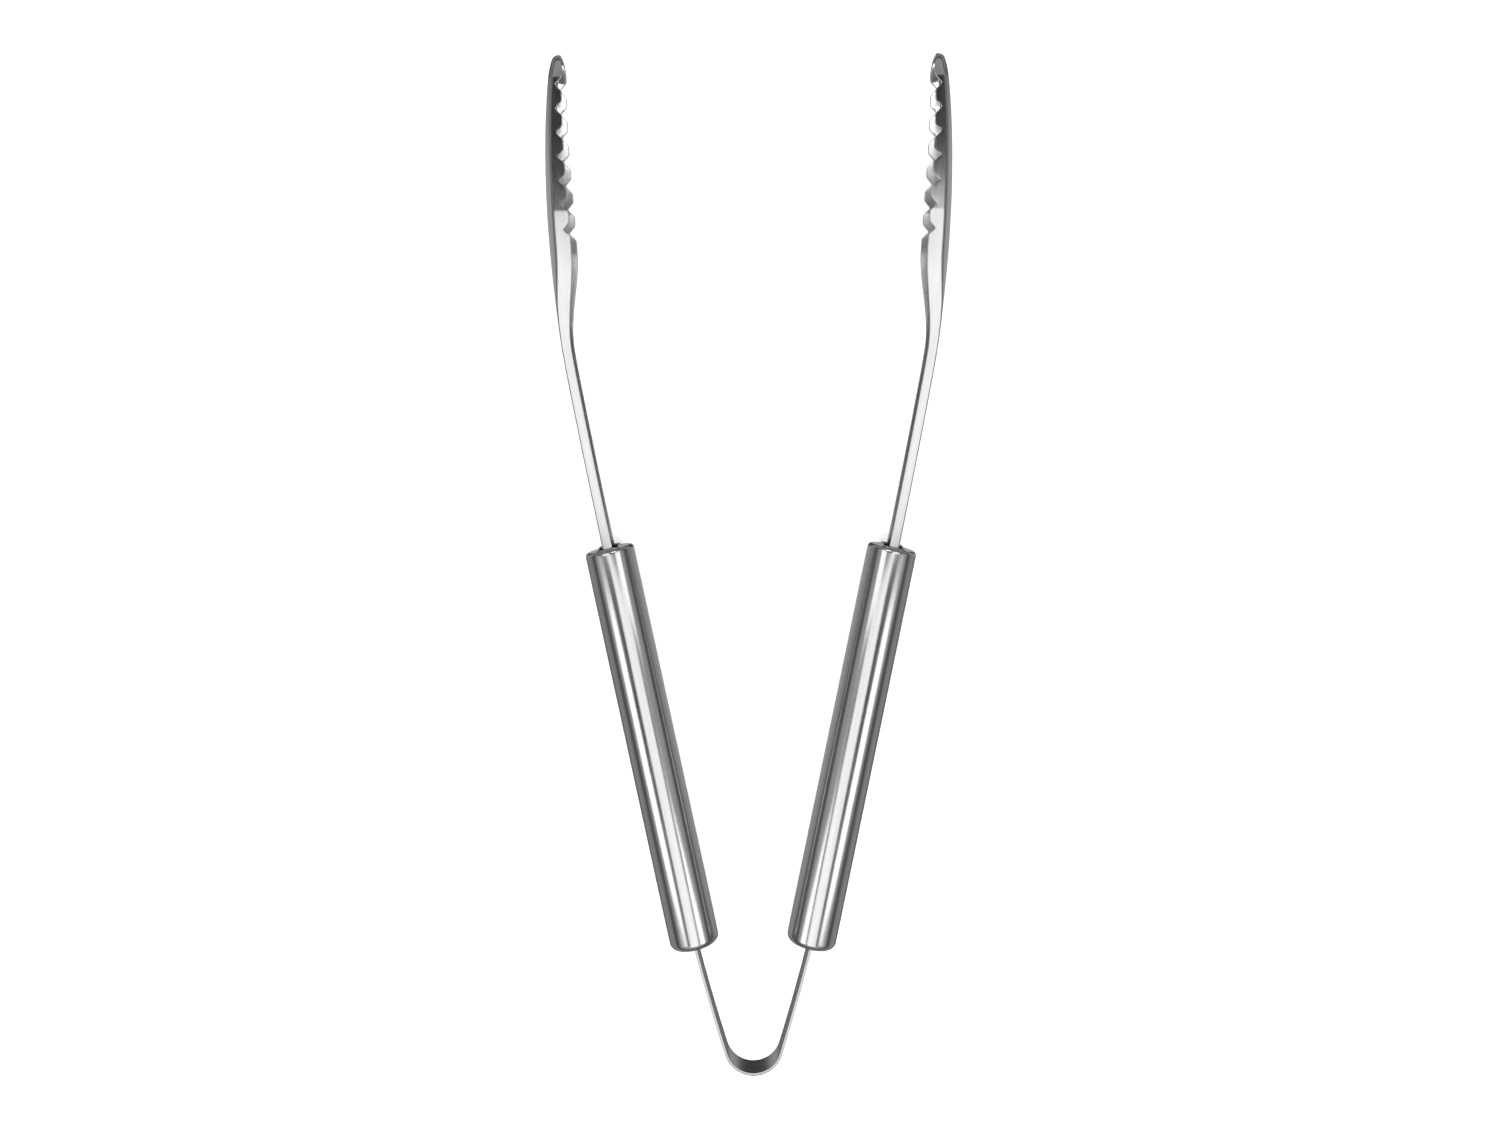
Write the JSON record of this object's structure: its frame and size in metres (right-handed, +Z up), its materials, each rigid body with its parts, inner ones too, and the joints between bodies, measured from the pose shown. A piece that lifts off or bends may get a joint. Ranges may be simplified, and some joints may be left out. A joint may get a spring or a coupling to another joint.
{
  "type": "kitchen tongs",
  "caption": "Stainless kitchen tongs with notched scoop-shaped gripping heads, round hollow handles and a bent flat spring bow that holds the arms open.",
  "frame": {"origin": "middle of the footprint, on the surface that the tongs lie on, with the tongs open and on their side", "axes": "+X across the opening, +Y from the spring bow to the gripping heads, +Z up and along the width of the strip"},
  "size_m": [0.1314, 0.3289, 0.0205],
  "materials": {
    "arm_steel": "bright stamped stainless steel, lightly polished",
    "handle_steel": "satin polished stainless tube, fine brushing along its length",
    "spring_steel": "rolled stainless spring strip",
    "rivet_steel": "plain stainless rivet",
    "plug_plastic": "moulded nylon, hidden inside the handle"
  },
  "bodies": {
    "spring": {"spring_bow": "spring_steel"},
    "left_side": {"left_arm": "arm_steel", "left_handle_tube": "handle_steel", "left_front_cap": "handle_steel", "left_rear_cap": "handle_steel", "left_front_plug": "plug_plastic", "left_rear_plug": "plug_plastic", "left_tang_rivets": "rivet_steel"},
    "right_side": {"right_arm": "arm_steel", "right_handle_tube": "handle_steel", "right_front_cap": "handle_steel", "right_rear_cap": "handle_steel", "right_front_plug": "plug_plastic", "right_rear_plug": "plug_plastic", "right_tang_rivets": "rivet_steel"}
  },
  "joints": [
    {"name": "right_close", "type": "hinge", "parent": "spring", "child": "right_side", "pos_m": [0.011, -0.14746, 0.01025], "axis": [0, 0, 1], "range_deg": [0, 10.9], "stiffness_Nm_per_rad": 2.5, "deforming": ["spring_bow"]},
    {"name": "left_close", "type": "hinge", "parent": "spring", "child": "left_side", "pos_m": [-0.011, -0.14746, 0.01025], "axis": [0, 0, -1], "range_deg": [0, 10.9], "stiffness_Nm_per_rad": 2.5, "deforming": ["spring_bow"]}
  ],
  "couplings": [
    {"joint": "left_close", "follows": "right_close", "ratio": 1}
  ]
}
